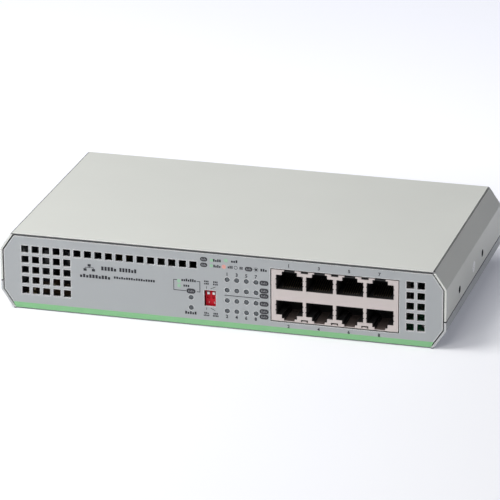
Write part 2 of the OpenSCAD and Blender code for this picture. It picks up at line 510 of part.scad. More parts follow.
base_tray();
top_cover();
cover_screws();
rear_cover_screws();
main_pcb();
board_standoffs();
board_screws();
jack_shield();
jack_housing();
jack_contacts();
magnetics_modules();
port_led_holder();
port_led_lenses();
status_led_holder();
status_led_lenses();
dip_switch_body();
dip_actuator_1();
dip_actuator_2();
dip_switch_pins();
switch_chip();
chip_heatsink();
flash_chip();
crystal();
board_capacitors();
power_inductor();
regulator_chip();
chip_resistors();
main_dc_header();
dc_plugs();
dc_wires();
psu_pcb();
insulation_sheet();
transformer_core();
transformer_winding();
bulk_capacitor();
emi_choke_core();
emi_choke_windings();
x_capacitor();
fuse();
fuse_clips();
bridge_rectifier();
psu_heatsink();
switching_transistor();
output_capacitors();
output_inductor();
psu_dc_header();
ac_header();
ac_inlet_body();
ac_inlet_pins();
ac_inlet_screws();
ac_inlet_nuts();
line_wire();
neutral_wire();
earth_wire();
earth_stud();
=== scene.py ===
import math
import random

import bpy
import bmesh
from mathutils import Matrix, Vector


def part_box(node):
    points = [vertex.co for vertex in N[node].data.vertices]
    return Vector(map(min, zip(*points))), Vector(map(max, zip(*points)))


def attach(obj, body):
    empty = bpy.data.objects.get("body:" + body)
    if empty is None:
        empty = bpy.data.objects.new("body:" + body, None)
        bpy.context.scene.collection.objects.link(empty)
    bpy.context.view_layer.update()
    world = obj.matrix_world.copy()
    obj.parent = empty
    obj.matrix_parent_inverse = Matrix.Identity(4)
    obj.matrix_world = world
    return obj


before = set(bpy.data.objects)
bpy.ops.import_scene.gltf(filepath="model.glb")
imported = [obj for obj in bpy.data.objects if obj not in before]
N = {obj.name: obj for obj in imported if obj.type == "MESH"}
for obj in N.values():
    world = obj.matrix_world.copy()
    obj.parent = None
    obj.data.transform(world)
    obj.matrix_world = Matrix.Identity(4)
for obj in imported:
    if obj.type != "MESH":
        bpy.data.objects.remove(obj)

random.seed(11)
scene = bpy.context.scene
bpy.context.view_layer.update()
MM = 0.001

# ------------------------------------------------------------------ anchors
LED_LO, LED_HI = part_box("port_led_lenses")
ST_LO, ST_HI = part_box("status_led_lenses")
SH_LO, SH_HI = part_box("jack_shield")
DP_LO, DP_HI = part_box("dip_switch_body")
TR_LO, TR_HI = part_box("base_tray")
AC_LO, AC_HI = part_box("ac_inlet_body")
YP = SH_LO.y                                   # face of the front panel
LR = 1.1 * MM                                  # radius of a lens
led_c = (LED_LO.x + LR, LED_HI.z - LR)         # first lens, upper left
led_px = (LED_HI.x - LED_LO.x - 2 * LR) / 3
led_pz = (LED_HI.z - LED_LO.z - 2 * LR) / 3
st_x = (ST_LO.x + ST_HI.x) / 2
port_pitch = 13.97 * MM
jack_x = (SH_LO.x + SH_HI.x) / 2
dip_x = (DP_LO.x + DP_HI.x) / 2


# ------------------------------------------------------------------ materials
def srgb(r, g, b):
    f = lambda c: c / 12.92 if c <= 0.04045 else ((c + 0.055) / 1.055) ** 2.4
    return (f(r / 255), f(g / 255), f(b / 255))


class Mat:
    """A small builder round one Principled material."""

    def __init__(self, name):
        self.m = bpy.data.materials.new(name)
        self.m.use_nodes = True
        self.t = self.m.node_tree
        self.b = self.t.nodes["Principled BSDF"]
        self.tc = self.t.nodes.new("ShaderNodeTexCoord")

    def link(self, a, b):
        self.t.links.new(a, b)

    def vec(self, scale=(1, 1, 1)):
        n = self.t.nodes.new("ShaderNodeMapping")
        n.inputs["Scale"].default_value = scale
        self.link(self.tc.outputs["Object"], n.inputs["Vector"])
        return n.outputs["Vector"]

    def noise(self, scale, detail=3.0, rough=0.5, stretch=(1, 1, 1)):
        n = self.t.nodes.new("ShaderNodeTexNoise")
        n.inputs["Scale"].default_value = scale
        n.inputs["Detail"].default_value = detail
        n.inputs["Roughness"].default_value = rough
        self.link(self.vec(stretch), n.inputs["Vector"])
        return n.outputs["Fac"]

    def ramp(self, fac, stops):
        n = self.t.nodes.new("ShaderNodeValToRGB")
        e = n.color_ramp.elements
        while len(e) < len(stops):
            e.new(0.5)
        for k, (p, c) in enumerate(stops):
            e[k].position = p
            e[k].color = (*c, 1) if len(c) == 3 else c
        self.link(fac, n.inputs["Fac"])
        return n.outputs["Color"]

    def span(self, fac, lo, hi, a=0.3, b=0.7):
        n = self.t.nodes.new("ShaderNodeMapRange")
        n.inputs["From Min"].default_value = a
        n.inputs["From Max"].default_value = b
        n.inputs["To Min"].default_value = lo
        n.inputs["To Max"].default_value = hi
        self.link(fac, n.inputs["Value"])
        return n.outputs["Result"]

    def mix(self, fac, a, b, blend="MIX"):
        n = self.t.nodes.new("ShaderNodeMix")
        n.data_type = "RGBA"
        n.blend_type = blend
        for sock, v in ((n.inputs[0], fac), (n.inputs[6], a), (n.inputs[7], b)):
            if isinstance(v, (int, float)):
                sock.default_value = v
            elif isinstance(v, tuple):
                sock.default_value = (*v, 1) if len(v) == 3 else v
            else:
                self.link(v, sock)
        return n.outputs[2]

    def add(self, a, b, ka=1.0, kb=1.0):
        n = self.t.nodes.new("ShaderNodeMath")
        n.operation = "MULTIPLY_ADD"
        self.link(a, n.inputs[0])
        n.inputs[1].default_value = ka
        m = self.t.nodes.new("ShaderNodeMath")
        m.operation = "MULTIPLY"
        self.link(b, m.inputs[0])
        m.inputs[1].default_value = kb
        self.link(m.outputs[0], n.inputs[2])
        return n.outputs[0]

    def bump(self, height, dist, strength=0.5):
        n = self.t.nodes.new("ShaderNodeBump")
        n.inputs["Distance"].default_value = dist
        n.inputs["Strength"].default_value = strength
        self.link(height, n.inputs["Height"])
        self.link(n.outputs["Normal"], self.b.inputs["Normal"])

    def calc(self, op, a, b=None, c=None):
        n = self.t.nodes.new("ShaderNodeMath")
        n.operation = op
        for k, v in enumerate((a, b, c)):
            if isinstance(v, (int, float)):
                n.inputs[k].default_value = v
            elif v is not None:
                self.link(v, n.inputs[k])
        return n.outputs[0]

    def edge(self, radius, lo, hi):
        """1 along edges, from the difference between the rounded and the true normal."""
        bv = self.t.nodes.new("ShaderNodeBevel")
        bv.samples = 4
        bv.inputs["Radius"].default_value = radius
        g = self.t.nodes.new("ShaderNodeNewGeometry")
        d = self.t.nodes.new("ShaderNodeVectorMath")
        d.operation = "DOT_PRODUCT"
        self.link(bv.outputs["Normal"], d.inputs[0])
        self.link(g.outputs["Normal"], d.inputs[1])
        n = self.t.nodes.new("ShaderNodeMapRange")
        n.inputs["From Min"].default_value = hi
        n.inputs["From Max"].default_value = lo
        n.inputs["To Min"].default_value = 0.0
        n.inputs["To Max"].default_value = 1.0
        self.link(d.outputs["Value"], n.inputs["Value"])
        return n.outputs["Result"]


def dim(c, k):
    return tuple(min(1.0, x * k) for x in c)


CS_LO, CS_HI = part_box("cover_screws")
TC_LO, TC_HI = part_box("top_cover")
HOLES = [((CS_LO.y + CS_HI.y) / 2 + d * MM, (CS_LO.z + CS_HI.z) / 2) for d in (-29.7, 18.3)]


def paint(name, base, rough, var=0.035, grain=2200.0, depth=0.000010, spec=0.35, edge_highlight_c=None, crease_shade=None, foot_shade=False, vent_highlight=None):
    """Baked enamel on sheet steel: cloudy tone, orange peel, painted highlight along edges and vent webs, painted shade
    in the bores, the seam, the foot, the rim and the crease.
    """
    m = Mat(name)
    tone = m.noise(18.0, 4.0, 0.55)
    col = m.ramp(tone, [(0.25, dim(base, 1 - var)), (0.75, dim(base, 1 + var))])
    speck = m.noise(grain * 1.3, 2.0, 0.6)
    sp = m.ramp(speck, [(0.0, (0.93, 0.93, 0.93)), (0.38, (1, 1, 1)), (0.72, (1, 1, 1)), (1.0, (1.04, 1.04, 1.04))])
    col = m.mix(1.0, col, sp, "MULTIPLY")
    if edge_highlight_c:
        # painted highlight: lighter colour along edges and bends, where the rounded normal parts from the true one
        col = m.mix(m.edge(0.00050, 0.84, 0.995), col, edge_highlight_c)
    xyz = m.t.nodes.new("ShaderNodeSeparateXYZ")
    m.link(m.tc.outputs["Object"], xyz.inputs[0])
    if vent_highlight:
        # painted highlight: paler paint on the webs and sills round the vent openings of the front panel
        high = m.calc("MULTIPLY", m.calc("GREATER_THAN", xyz.outputs["Z"], LED_HI.z + 5.6 * MM), m.calc("LESS_THAN", xyz.outputs["X"], led_c[0] - 11 * MM))
        side = m.calc("MAXIMUM", m.calc("LESS_THAN", xyz.outputs["X"], led_c[0] - 66 * MM), m.calc("GREATER_THAN", xyz.outputs["X"], SH_HI.x + 2.6 * MM))
        front = m.calc("LESS_THAN", xyz.outputs["Y"], YP + 1.5 * MM)
        vent_highlight_mask = m.calc("MULTIPLY", m.calc("MULTIPLY", m.calc("MAXIMUM", high, side), front), m.edge(0.00100, 0.90, 0.998))
        col = m.mix(vent_highlight_mask, col, vent_highlight)
    flat = m.t.nodes.new("ShaderNodeCombineXYZ")
    m.link(xyz.outputs["Y"], flat.inputs["Y"])
    m.link(xyz.outputs["Z"], flat.inputs["Z"])
    # painted shade: the side screw bores turn near black inside, within 1.79 mm of their axes
    for hy, hz in HOLES:
        dn = m.t.nodes.new("ShaderNodeVectorMath")
        dn.operation = "DISTANCE"
        m.link(flat.outputs[0], dn.inputs[0])
        dn.inputs[1].default_value = (0, hy, hz)
        lt = m.t.nodes.new("ShaderNodeMath")
        lt.operation = "LESS_THAN"
        m.link(dn.outputs["Value"], lt.inputs[0])
        lt.inputs[1].default_value = 1.79 * MM
        col = m.mix(lt.outputs[0], col, (0.030, 0.029, 0.028))
    wide = m.calc("ABSOLUTE", xyz.outputs["X"])
    # painted shade: a dark line along the seam between cover and tray on the sides
    seam_shade = m.calc("MULTIPLY", m.calc("COMPARE", xyz.outputs["Z"], TC_LO.z - 0.2 * MM, 0.36 * MM), m.calc("GREATER_THAN", wide, TC_HI.x - 0.9 * MM))
    col = m.mix(seam_shade, col, (0.060, 0.060, 0.062))
    if foot_shade:
        # painted shade: a dark band on the front fold of the tray, from 0.05 to 0.61 mm up
        foot_shade_mask = m.calc("MULTIPLY", m.calc("COMPARE", xyz.outputs["Z"], 0.33 * MM, 0.28 * MM), m.calc("LESS_THAN", xyz.outputs["Y"], YP + 1.5 * MM))
        col = m.mix(foot_shade_mask, col, (0.17, 0.18, 0.18))
    if crease_shade:
        # painted shade on the lower half of the cut edge over the front panel
        rim_shade = m.calc("MULTIPLY", m.calc("COMPARE", xyz.outputs["Z"], TC_HI.z - 0.70 * MM, 0.22 * MM), m.calc("LESS_THAN", xyz.outputs["Y"], TC_LO.y + 0.25 * MM))
        col = m.mix(rim_shade, col, (0.10, 0.10, 0.105))
        # painted shade: a dark line along the crease between the top and the upper side bevel
        fold = m.t.nodes.new("ShaderNodeCombineXYZ")
        m.link(wide, fold.inputs["X"])
        m.link(xyz.outputs["Z"], fold.inputs["Z"])
        dn = m.t.nodes.new("ShaderNodeVectorMath")
        dn.operation = "DISTANCE"
        m.link(fold.outputs[0], dn.inputs[0])
        dn.inputs[1].default_value = (crease_shade[0], 0, crease_shade[1])
        col = m.mix(m.span(dn.outputs["Value"], 1.0, 0.0, 0.36 * MM, 0.48 * MM), col, (0.050, 0.050, 0.052))
    m.link(col, m.b.inputs["Base Color"])
    m.link(m.span(m.noise(140.0, 3.0), rough - 0.02, rough + 0.02), m.b.inputs["Roughness"])
    m.b.inputs["Specular IOR Level"].default_value = spec
    m.bump(m.add(m.noise(grain, 2.0, 0.5), m.noise(grain * 0.28, 2.0, 0.5), 0.6, 0.8), depth, 0.55)
    return m.m


def metal(name, base, rough, metallic=1.0, streak=(1, 1, 14), grain=900.0, var=0.10, depth=0.000006):
    """Plated or rolled metal: drawn streaks in tone, roughness and relief."""
    m = Mat(name)
    st = m.noise(grain, 3.0, 0.6, streak)
    cl = m.noise(60.0, 3.0, 0.5)
    f = m.add(st, cl, 0.6, 0.4)
    m.link(m.ramp(f, [(0.3, dim(base, 1 - var)), (0.7, dim(base, 1 + var * 0.6))]), m.b.inputs["Base Color"])
    m.b.inputs["Metallic"].default_value = metallic
    m.link(m.span(f, rough - 0.09, rough + 0.09), m.b.inputs["Roughness"])
    m.bump(st, depth, 0.4)
    return m.m


def plastic(name, base, rough=0.5, var=0.10, grain=1600.0, depth=0.000014, spec=0.45, coat=0.0, floor=None):
    """Moulded plastic: fine spark-eroded grain with a little flow mottling; below a given height, a given lighter
    colour as painted light.
    """
    m = Mat(name)
    cl = m.noise(220.0, 3.0, 0.55)
    col = m.ramp(cl, [(0.3, dim(base, 1 - var)), (0.7, dim(base, 1 + var))])
    if floor:
        xyz = m.t.nodes.new("ShaderNodeSeparateXYZ")
        m.link(m.tc.outputs["Object"], xyz.inputs[0])
        col = m.mix(m.calc("LESS_THAN", xyz.outputs["Z"], floor[0]), col, floor[1])
    m.link(col, m.b.inputs["Base Color"])
    m.link(m.span(m.noise(500.0, 3.0), rough - 0.08, rough + 0.08), m.b.inputs["Roughness"])
    m.b.inputs["Specular IOR Level"].default_value = spec
    if coat:
        m.b.inputs["Coat Weight"].default_value = coat
        m.b.inputs["Coat Roughness"].default_value = 0.12
    m.bump(m.noise(grain, 2.0, 0.55), depth, 0.5)
    return m.m


def board(name, base, trace):
    """Solder mask over a copper pattern: square-cornered tracks, pads and weave."""
    m = Mat(name)
    br = m.t.nodes.new("ShaderNodeTexBrick")
    br.inputs["Scale"].default_value = 90.0
    br.inputs["Mortar Size"].default_value = 0.012
    br.inputs["Color1"].default_value = (0, 0, 0, 1)
    br.inputs["Color2"].default_value = (0.12, 0.12, 0.12, 1)
    br.inputs["Mortar"].default_value = (1, 1, 1, 1)
    m.link(m.vec((1.0, 2.2, 1.0)), br.inputs["Vector"])
    vo = m.t.nodes.new("ShaderNodeTexVoronoi")
    vo.inputs["Scale"].default_value = 260.0
    m.link(m.vec(), vo.inputs["Vector"])
    pads = m.ramp(vo.outputs["Distance"], [(0.0, (1, 1, 1)), (0.13, (1, 1, 1)), (0.16, (0, 0, 0)), (1.0, (0, 0, 0))])
    tone = m.ramp(m.noise(70.0, 3.0), [(0.3, dim(base, 0.85)), (0.7, dim(base, 1.15))])
    col = m.mix(br.outputs["Color"], tone, trace)
    col = m.mix(pads, col, (0.62, 0.56, 0.36))
    m.link(col, m.b.inputs["Base Color"])
    m.link(m.span(m.noise(900.0, 2.0), 0.24, 0.42), m.b.inputs["Roughness"])
    m.bump(br.outputs["Fac"], 0.00003, 0.6)
    return m.m


def lens(name, base):
    """Diffused indicator lens: cloudy body, glossy face."""
    m = Mat(name)
    cl = m.ramp(m.noise(900.0, 2.0), [(0.3, dim(base, 0.92)), (0.7, dim(base, 1.10))])
    m.link(cl, m.b.inputs["Base Color"])
    m.link(m.span(m.noise(1400.0, 2.0), 0.42, 0.56), m.b.inputs["Roughness"])
    m.b.inputs["Specular IOR Level"].default_value = 0.25
    m.bump(m.noise(1700.0, 2.0), 0.000012, 0.4)
    return m.m


def ink(name, base, rough=0.55, var=0.08):
    """Screen-printed ink: slight mottling and a thin raised film."""
    m = Mat(name)
    m.link(m.ramp(m.noise(1500.0, 3.0, 0.6), [(0.25, dim(base, 1 - var)), (0.75, dim(base, 1 + var))]), m.b.inputs["Base Color"])
    m.link(m.span(m.noise(700.0, 2.0), rough - 0.07, rough + 0.07), m.b.inputs["Roughness"])
    m.b.inputs["Specular IOR Level"].default_value = 0.3
    m.bump(m.noise(2600.0, 2.0), 0.000006, 0.4)
    return m.m


def winding(name, base, pitch=1400.0, axis=0):
    """Turns of enamelled wire or of tape, as fine rounded ribs, darker in the grooves and lighter on the crests as
    painted shade and highlight.
    """
    m = Mat(name)
    w = m.t.nodes.new("ShaderNodeTexWave")
    w.wave_type = "BANDS"
    w.bands_direction = "XYZ"[axis]
    w.inputs["Scale"].default_value = pitch / 6.28
    w.inputs["Distortion"].default_value = 0.6
    m.link(m.vec(), w.inputs["Vector"])
    # painted shade and highlight: colour from 0.45 of the base in the grooves to 1.2 on the crests
    m.link(m.ramp(w.outputs["Fac"], [(0.0, dim(base, 0.45)), (0.5, dim(base, 0.95)), (1.0, dim(base, 1.2))]), m.b.inputs["Base Color"])
    m.link(m.span(m.noise(300.0, 2.0), 0.24, 0.40), m.b.inputs["Roughness"])
    m.bump(w.outputs["Fac"], 0.00008, 0.8)
    return m.m


def give(node, mat):
    o = N[node]
    if not o.material_slots:
        o.data.materials.append(mat)
    for s in o.material_slots:
        s.material = mat


COVER = srgb(206, 207, 200)
PANEL = srgb(167, 170, 171)
cover_paint = paint("cover_enamel", COVER, 0.42, var=0.02, edge_highlight_c=srgb(234, 235, 231), crease_shade=(TC_HI.x - 5.7 * MM, TC_HI.z))
panel_paint = paint("panel_enamel", PANEL, 0.44, var=0.02, depth=0.000008, edge_highlight_c=srgb(240, 241, 240), foot_shade=True, vent_highlight=srgb(214, 213, 212))
steel = metal("zinc_plate", (0.86, 0.86, 0.85), 0.26, streak=(1, 1, 1), grain=700.0)
tinned = metal("tinned_sheet", (0.610, 0.546, 0.520), 0.42, metallic=0.35, streak=(16, 1, 1), grain=260.0, var=0.05)
gold = metal("gold_flash", (0.36, 0.30, 0.20), 0.34, streak=(1, 8, 1))
pin_metal = metal("tin_plate", (0.74, 0.73, 0.71), 0.28, streak=(1, 9, 1))
alu = metal("extruded_aluminium", (0.62, 0.63, 0.64), 0.38, streak=(1, 12, 1))
anodised = metal("black_anodised", (0.05, 0.05, 0.055), 0.42, metallic=0.4, streak=(1, 12, 1))
brass = metal("turned_brass", (0.72, 0.56, 0.28), 0.30, streak=(1, 1, 12))
# painted light: the floors of the jack openings get a lighter brownish colour, standing in for lit floor and the
# shield's reflection
jack_black = plastic("jack_nylon", (0.020, 0.019, 0.019), 0.60, spec=0.22, floor=(SH_LO.z + 0.95 * MM, (0.085, 0.066, 0.060)))
black = plastic("black_nylon", (0.032, 0.031, 0.032), 0.46)
epoxy = plastic("black_epoxy", (0.018, 0.018, 0.020), 0.60, grain=2400.0, depth=0.00002)
nylon = plastic("natural_nylon", (0.74, 0.71, 0.60), 0.45)
red = plastic("red_moulding", (0.62, 0.008, 0.022), 0.45, spec=0.22)
white = plastic("white_moulding", (0.88, 0.88, 0.86), 0.30, var=0.03, coat=0.3)
green_board = board("green_solder_mask", (0.010, 0.095, 0.038), (0.03, 0.20, 0.09))
tan_board = board("tan_laminate", (0.085, 0.055, 0.032), (0.06, 0.04, 0.024))
smoked = lens("diffused_lens", srgb(94, 98, 101))
sleeve = plastic("shrink_sleeve", (0.012, 0.013, 0.018), 0.30, coat=0.3)
can = metal("can_aluminium", (0.70, 0.71, 0.72), 0.30, streak=(1, 1, 1))
ferrite = plastic("ferrite", (0.045, 0.045, 0.050), 0.55, grain=3000.0, depth=0.00003)
tape = winding("polyester_tape", (0.20, 0.14, 0.03), 300.0, 2)
copper = winding("enamelled_wire", (0.55, 0.20, 0.06), 1100.0, 0)
film = plastic("film_capacitor", (0.10, 0.10, 0.105), 0.40)
insul = plastic("fish_paper", (0.66, 0.66, 0.56), 0.62, grain=800.0)
w_red = plastic("wire_red", (0.50, 0.02, 0.015), 0.35)
w_brown = plastic("wire_brown", (0.17, 0.06, 0.02), 0.35)
w_blue = plastic("wire_blue", (0.02, 0.07, 0.34), 0.35)
w_earth = Mat("wire_green_yellow")
_wv = w_earth.t.nodes.new("ShaderNodeTexWave")
_wv.inputs["Scale"].default_value = 40.0
w_earth.link(w_earth.vec(), _wv.inputs["Vector"])
w_earth.link(w_earth.ramp(_wv.outputs["Fac"], [(0.0, (0.05, 0.30, 0.04)), (0.60, (0.05, 0.30, 0.04)), (0.66, (0.75, 0.62, 0.04)), (1.0, (0.75, 0.62, 0.04))]), w_earth.b.inputs["Base Color"])
w_earth.link(w_earth.span(w_earth.noise(500.0), 0.3, 0.45), w_earth.b.inputs["Roughness"])
w_earth.bump(w_earth.noise(1500.0), 0.00001)
w_earth = w_earth.m
fuse_glass = Mat("fuse_glass")
fuse_glass.link(fuse_glass.ramp(fuse_glass.noise(400.0), [(0.3, (0.80, 0.88, 0.88)), (0.7, (0.92, 0.97, 0.97))]), fuse_glass.b.inputs["Base Color"])
fuse_glass.link(fuse_glass.span(fuse_glass.noise(900.0), 0.04, 0.12), fuse_glass.b.inputs["Roughness"])
fuse_glass.b.inputs["Transmission Weight"].default_value = 0.8
fuse_glass = fuse_glass.m

for n, m in {
    "base_tray": panel_paint, "top_cover": cover_paint, "cover_screws": steel, "rear_cover_screws": steel,
    "board_screws": steel, "ac_inlet_screws": steel, "ac_inlet_nuts": steel, "earth_stud": steel,
    "main_pcb": green_board, "psu_pcb": tan_board, "board_standoffs": brass, "fuse_clips": brass,
    "jack_shield": tinned, "jack_housing": jack_black, "port_led_holder": black, "status_led_holder": black,
    "ac_inlet_body": black, "jack_contacts": gold, "magnetics_modules": epoxy, "switch_chip": epoxy,
    "flash_chip": epoxy, "regulator_chip": epoxy, "bridge_rectifier": epoxy, "switching_transistor": epoxy,
    "power_inductor": ferrite, "chip_resistors": epoxy, "port_led_lenses": smoked, "status_led_lenses": smoked,
    "dip_switch_body": red, "dip_actuator_1": white, "dip_actuator_2": white, "main_dc_header": nylon,
    "psu_dc_header": nylon, "dc_plugs": nylon, "ac_header": nylon, "dip_switch_pins": pin_metal,
    "ac_inlet_pins": pin_metal, "crystal": can, "chip_heatsink": alu, "psu_heatsink": anodised,
    "bulk_capacitor": sleeve, "output_capacitors": sleeve, "board_capacitors": can, "transformer_core": ferrite,
    "emi_choke_core": ferrite, "transformer_winding": tape, "x_capacitor": film, "emi_choke_windings": copper,
    "output_inductor": copper, "fuse": fuse_glass, "insulation_sheet": insul, "dc_wires": w_red,
    "line_wire": w_brown, "neutral_wire": w_blue, "earth_wire": w_earth,
}.items():
    give(n, m)

# ------------------------------------------------------------------ prints
ink_dark = ink("ink_dark_grey", (0.024, 0.025, 0.030))
ink_pill = ink("ink_pill", (0.044, 0.044, 0.049))
ink_light = ink("ink_light_grey", (0.23, 0.235, 0.245))
ink_mark = ink("ink_soft_white", (0.50, 0.47, 0.46))
ink_green = ink("ink_green", (0.238, 0.508, 0.250), 0.5, 0.03)
ink_pale_green = ink("ink_pale_green", (0.31, 0.52, 0.35))
ink_pink = ink("ink_amber_pink", (0.72, 0.35, 0.30))


def prisms(name, loops, mat, y=None, front=0.00003, back=0.0):
    """Thin closed prints, one for each loop of (x, z) points, standing front metres proud of y."""
    y = YP if y is None else y
    bm = bmesh.new()
    for loop in loops:
        if sum(a[0] * b[1] - b[0] * a[1] for a, b in zip(loop, loop[1:] + loop[:1])) < 0:
            loop = loop[::-1]
        f = [bm.verts.new((x, y - front, z)) for x, z in loop]
        r = [bm.verts.new((x, y - back, z)) for x, z in loop]
        bm.faces.new(f)
        bm.faces.new(r[::-1])
        for k in range(len(f)):
            j = (k + 1) % len(f)
            bm.faces.new((f[j], f[k], r[k], r[j]))
    bmesh.ops.recalc_face_normals(bm, faces=bm.faces)
    me = bpy.data.meshes.new(name)
    bm.to_mesh(me)
    bm.free()
    o = bpy.data.objects.new(name, me)
    scene.collection.objects.link(o)
    me.materials.append(mat)
    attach(o, "case")
    return o


def disc(x, z, r, n=28):
    return [(x + r * math.cos(2 * math.pi * k / n), z + r * math.sin(2 * math.pi * k / n)) for k in range(n)]


def ring(x, z, r, w, n=28):
    out = []
    for k in range(n):
        a, b = 2 * math.pi * k / n, 2 * math.pi * (k + 1) / n
        out.append([(x + r * math.cos(a), z + r * math.sin(a)), (x + r * math.cos(b), z + r * math.sin(b)),
                    (x + (r - w) * math.cos(b), z + (r - w) * math.sin(b)), (x + (r - w) * math.cos(a), z + (r - w) * math.sin(a))])
    return out


def stadium(x, z, w, h, n=10):
    r, s = h / 2, (w - h) / 2
    p = [(x + s + r * math.cos(a), z + r * math.sin(a)) for a in [math.pi * (k / n - 0.5) for k in range(n + 1)]]
    return p + [(x - s + r * math.cos(a), z + r * math.sin(a)) for a in [math.pi * (k / n + 0.5) for k in range(n + 1)]]


def bar(x0, z0, x1, z1):
    return [(x0, z0), (x1, z0), (x1, z1), (x0, z1)]


def stroke(x0, z0, x1, z1, w):
    d = Vector((x1 - x0, z1 - z0)).normalized() * w / 2
    q = Vector((-d.y, d.x))
    return [(x0 - d.x + q.x, z0 - d.y + q.y), (x0 - d.x - q.x, z0 - d.y - q.y), (x1 + d.x - q.x, z1 + d.y - q.y), (x1 + d.x + q.x, z1 + d.y + q.y)]


def dashes(x, z, n, h=1.0, w=0.62, gap=0.30):
    """A row of n small upright blocks centred on (x, z): a generic legend without letters."""
    out, x0 = [], x - (n * w + (n - 1) * gap) / 2
    for k in range(n):
        a = random.choice((1.0, 1.0, 0.72))
        out.append(bar((x0 + k * (w + gap)) * MM, (z - h / 2) * MM, (x0 + k * (w + gap) + w) * MM, (z - h / 2 + h * a) * MM))
    return out


def digits(name, items, size, mat, y=None, front=0.00003):
    """Plain numerals at (text, x, z) in metres, centred, as thin closed meshes joined in one piece."""
    y = YP if y is None else y
    bm = bmesh.new()
    dg = bpy.context.evaluated_depsgraph_get()
    for text, x, z in items:
        cu = bpy.data.curves.new("numeral", "FONT")
        cu.body = text
        cu.size = size
        cu.align_x = "CENTER"
        cu.align_y = "CENTER"
        cu.extrude = front / 2
        cu.resolution_u = 3
        cu.offset = size * 0.034
        ob = bpy.data.objects.new("numeral", cu)
        scene.collection.objects.link(ob)
        bpy.context.view_layer.update()
        dg = bpy.context.evaluated_depsgraph_get()
        me = bpy.data.meshes.new_from_object(ob.evaluated_get(dg))
        xs = [v.co.x for v in me.vertices]
        ys = [v.co.y for v in me.vertices]
        cx, cy = (min(xs) + max(xs)) / 2, (min(ys) + max(ys)) / 2
        for v in me.vertices:
            v.co = Vector((x + v.co.x - cx, y - front / 2 - v.co.z, z + v.co.y - cy))
        bm.from_mesh(me)
        bpy.data.objects.remove(ob)
        bpy.data.curves.remove(cu)
        bpy.data.meshes.remove(me)
    bmesh.ops.remove_doubles(bm, verts=bm.verts, dist=1e-7)
    bmesh.ops.recalc_face_normals(bm, faces=bm.faces)
    me = bpy.data.meshes.new(name)
    bm.to_mesh(me)
    bm.free()
    o = bpy.data.objects.new(name, me)
    scene.collection.objects.link(o)
    me.materials.append(mat)
    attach(o, "case")
    return o


Lx, Lz = led_c[0] / MM, led_c[1] / MM
PX, PZ = led_px / MM, led_pz / MM
Sx, Jx = st_x / MM, jack_x / MM
Sz = ((ST_HI.z - LR) / MM, (ST_LO.z + LR) / MM)
Dx = dip_x / MM
PP = port_pitch / MM
shT, shB = SH_HI.z / MM, SH_LO.z / MM
pill_x = Lx + 3 * PX + 3.75
dark, pills, inner, light = [], [], [], []

# legend pills, each with a small pair of lighter marks in place of its word
def pill(x, z, w=4.25, h=2.35):
    pills.append(stadium(x * MM, z * MM, w * MM, h * MM))
    k = w / 4.25
    for dx, hh in ((-1.05, 0.95), (-0.35, 0.60), (0.35, 0.95), (1.05, 0.60)):
        c = x + dx * k
        inner.append(bar((c - 0.17) * MM, (z - 0.48) * MM, (c + 0.17) * MM, (z - 0.48 + hh) * MM))

for z in (Lz, Lz - 3.75, Lz - 6.25, Lz - 10.1, Lz - 13.75, Lz - 16.3):
    pill(pill_x, z)
pill(Lx - 10.9, Lz + 8.87, 3.4, 2.1)
pill(Lx - 10.9, Lz + 6.16, 3.4, 2.1)
pill(Lx + 10.1, Lz + 6.08, 3.6, 2.1)
pill(Sx, Sz[0] + 3.07, 4.3, 2.4)

# line between the two halves of the indicator field
dark.append(bar((Lx - 1.2) * MM, (Lz - 1.5 * PZ - 0.15) * MM, (Lx + 3 * PX + 1.7) * MM, (Lz - 1.5 * PZ + 0.15) * MM))
# bracket round the loop legend
bx0, bx1, bz0, bz1 = Sx - 8.1, Sx + 4.2, Sz[0] + 3.0, Sz[0] + 8.0
for a in ((bx0, bz0, bx0, bz1), (bx0, bz1, bx0 + 1.4, bz1), (bx0, bz0, Sx - 2.5, bz0), (bx1, bz0, bx1, bz1), (bx1 - 1.4, bz1, bx1, bz1), (Sx + 2.9, bz0, bx1, bz0)):
    dark.append(stroke(*(v * MM for v in a), 0.30 * MM))
# legends as dashes
dark += dashes(Lx - 4.7, Lz + 8.78, 4, 1.3, 0.70, 0.26) + dashes(Lx + 3.4, Lz + 9.14, 3, 1.3, 0.80, 0.26)
dark += dashes(Lx - 4.7, Lz + 6.03, 4, 1.3, 0.64, 0.24) + dashes(Lx + 1.5, Lz + 6.2, 3, 1.3, 0.60, 0.24) + dashes(Lx + 6.6, Lz + 6.2, 2, 1.3, 0.60, 0.24) + dashes(Lx + 17.1, Lz + 6.2, 3, 1.3, 0.80, 0.26)
dark += dashes(Sx - 1.1, Sz[0] + 8.2, 7, 1.35, 0.74, 0.26) + dashes(Sx - 2.2, Sz[0] + 5.6, 3, 1.35, 0.74, 0.26)
dark += dashes(Sx - 0.2, Sz[1] - 2.5, 5, 1.40, 0.84, 0.28)
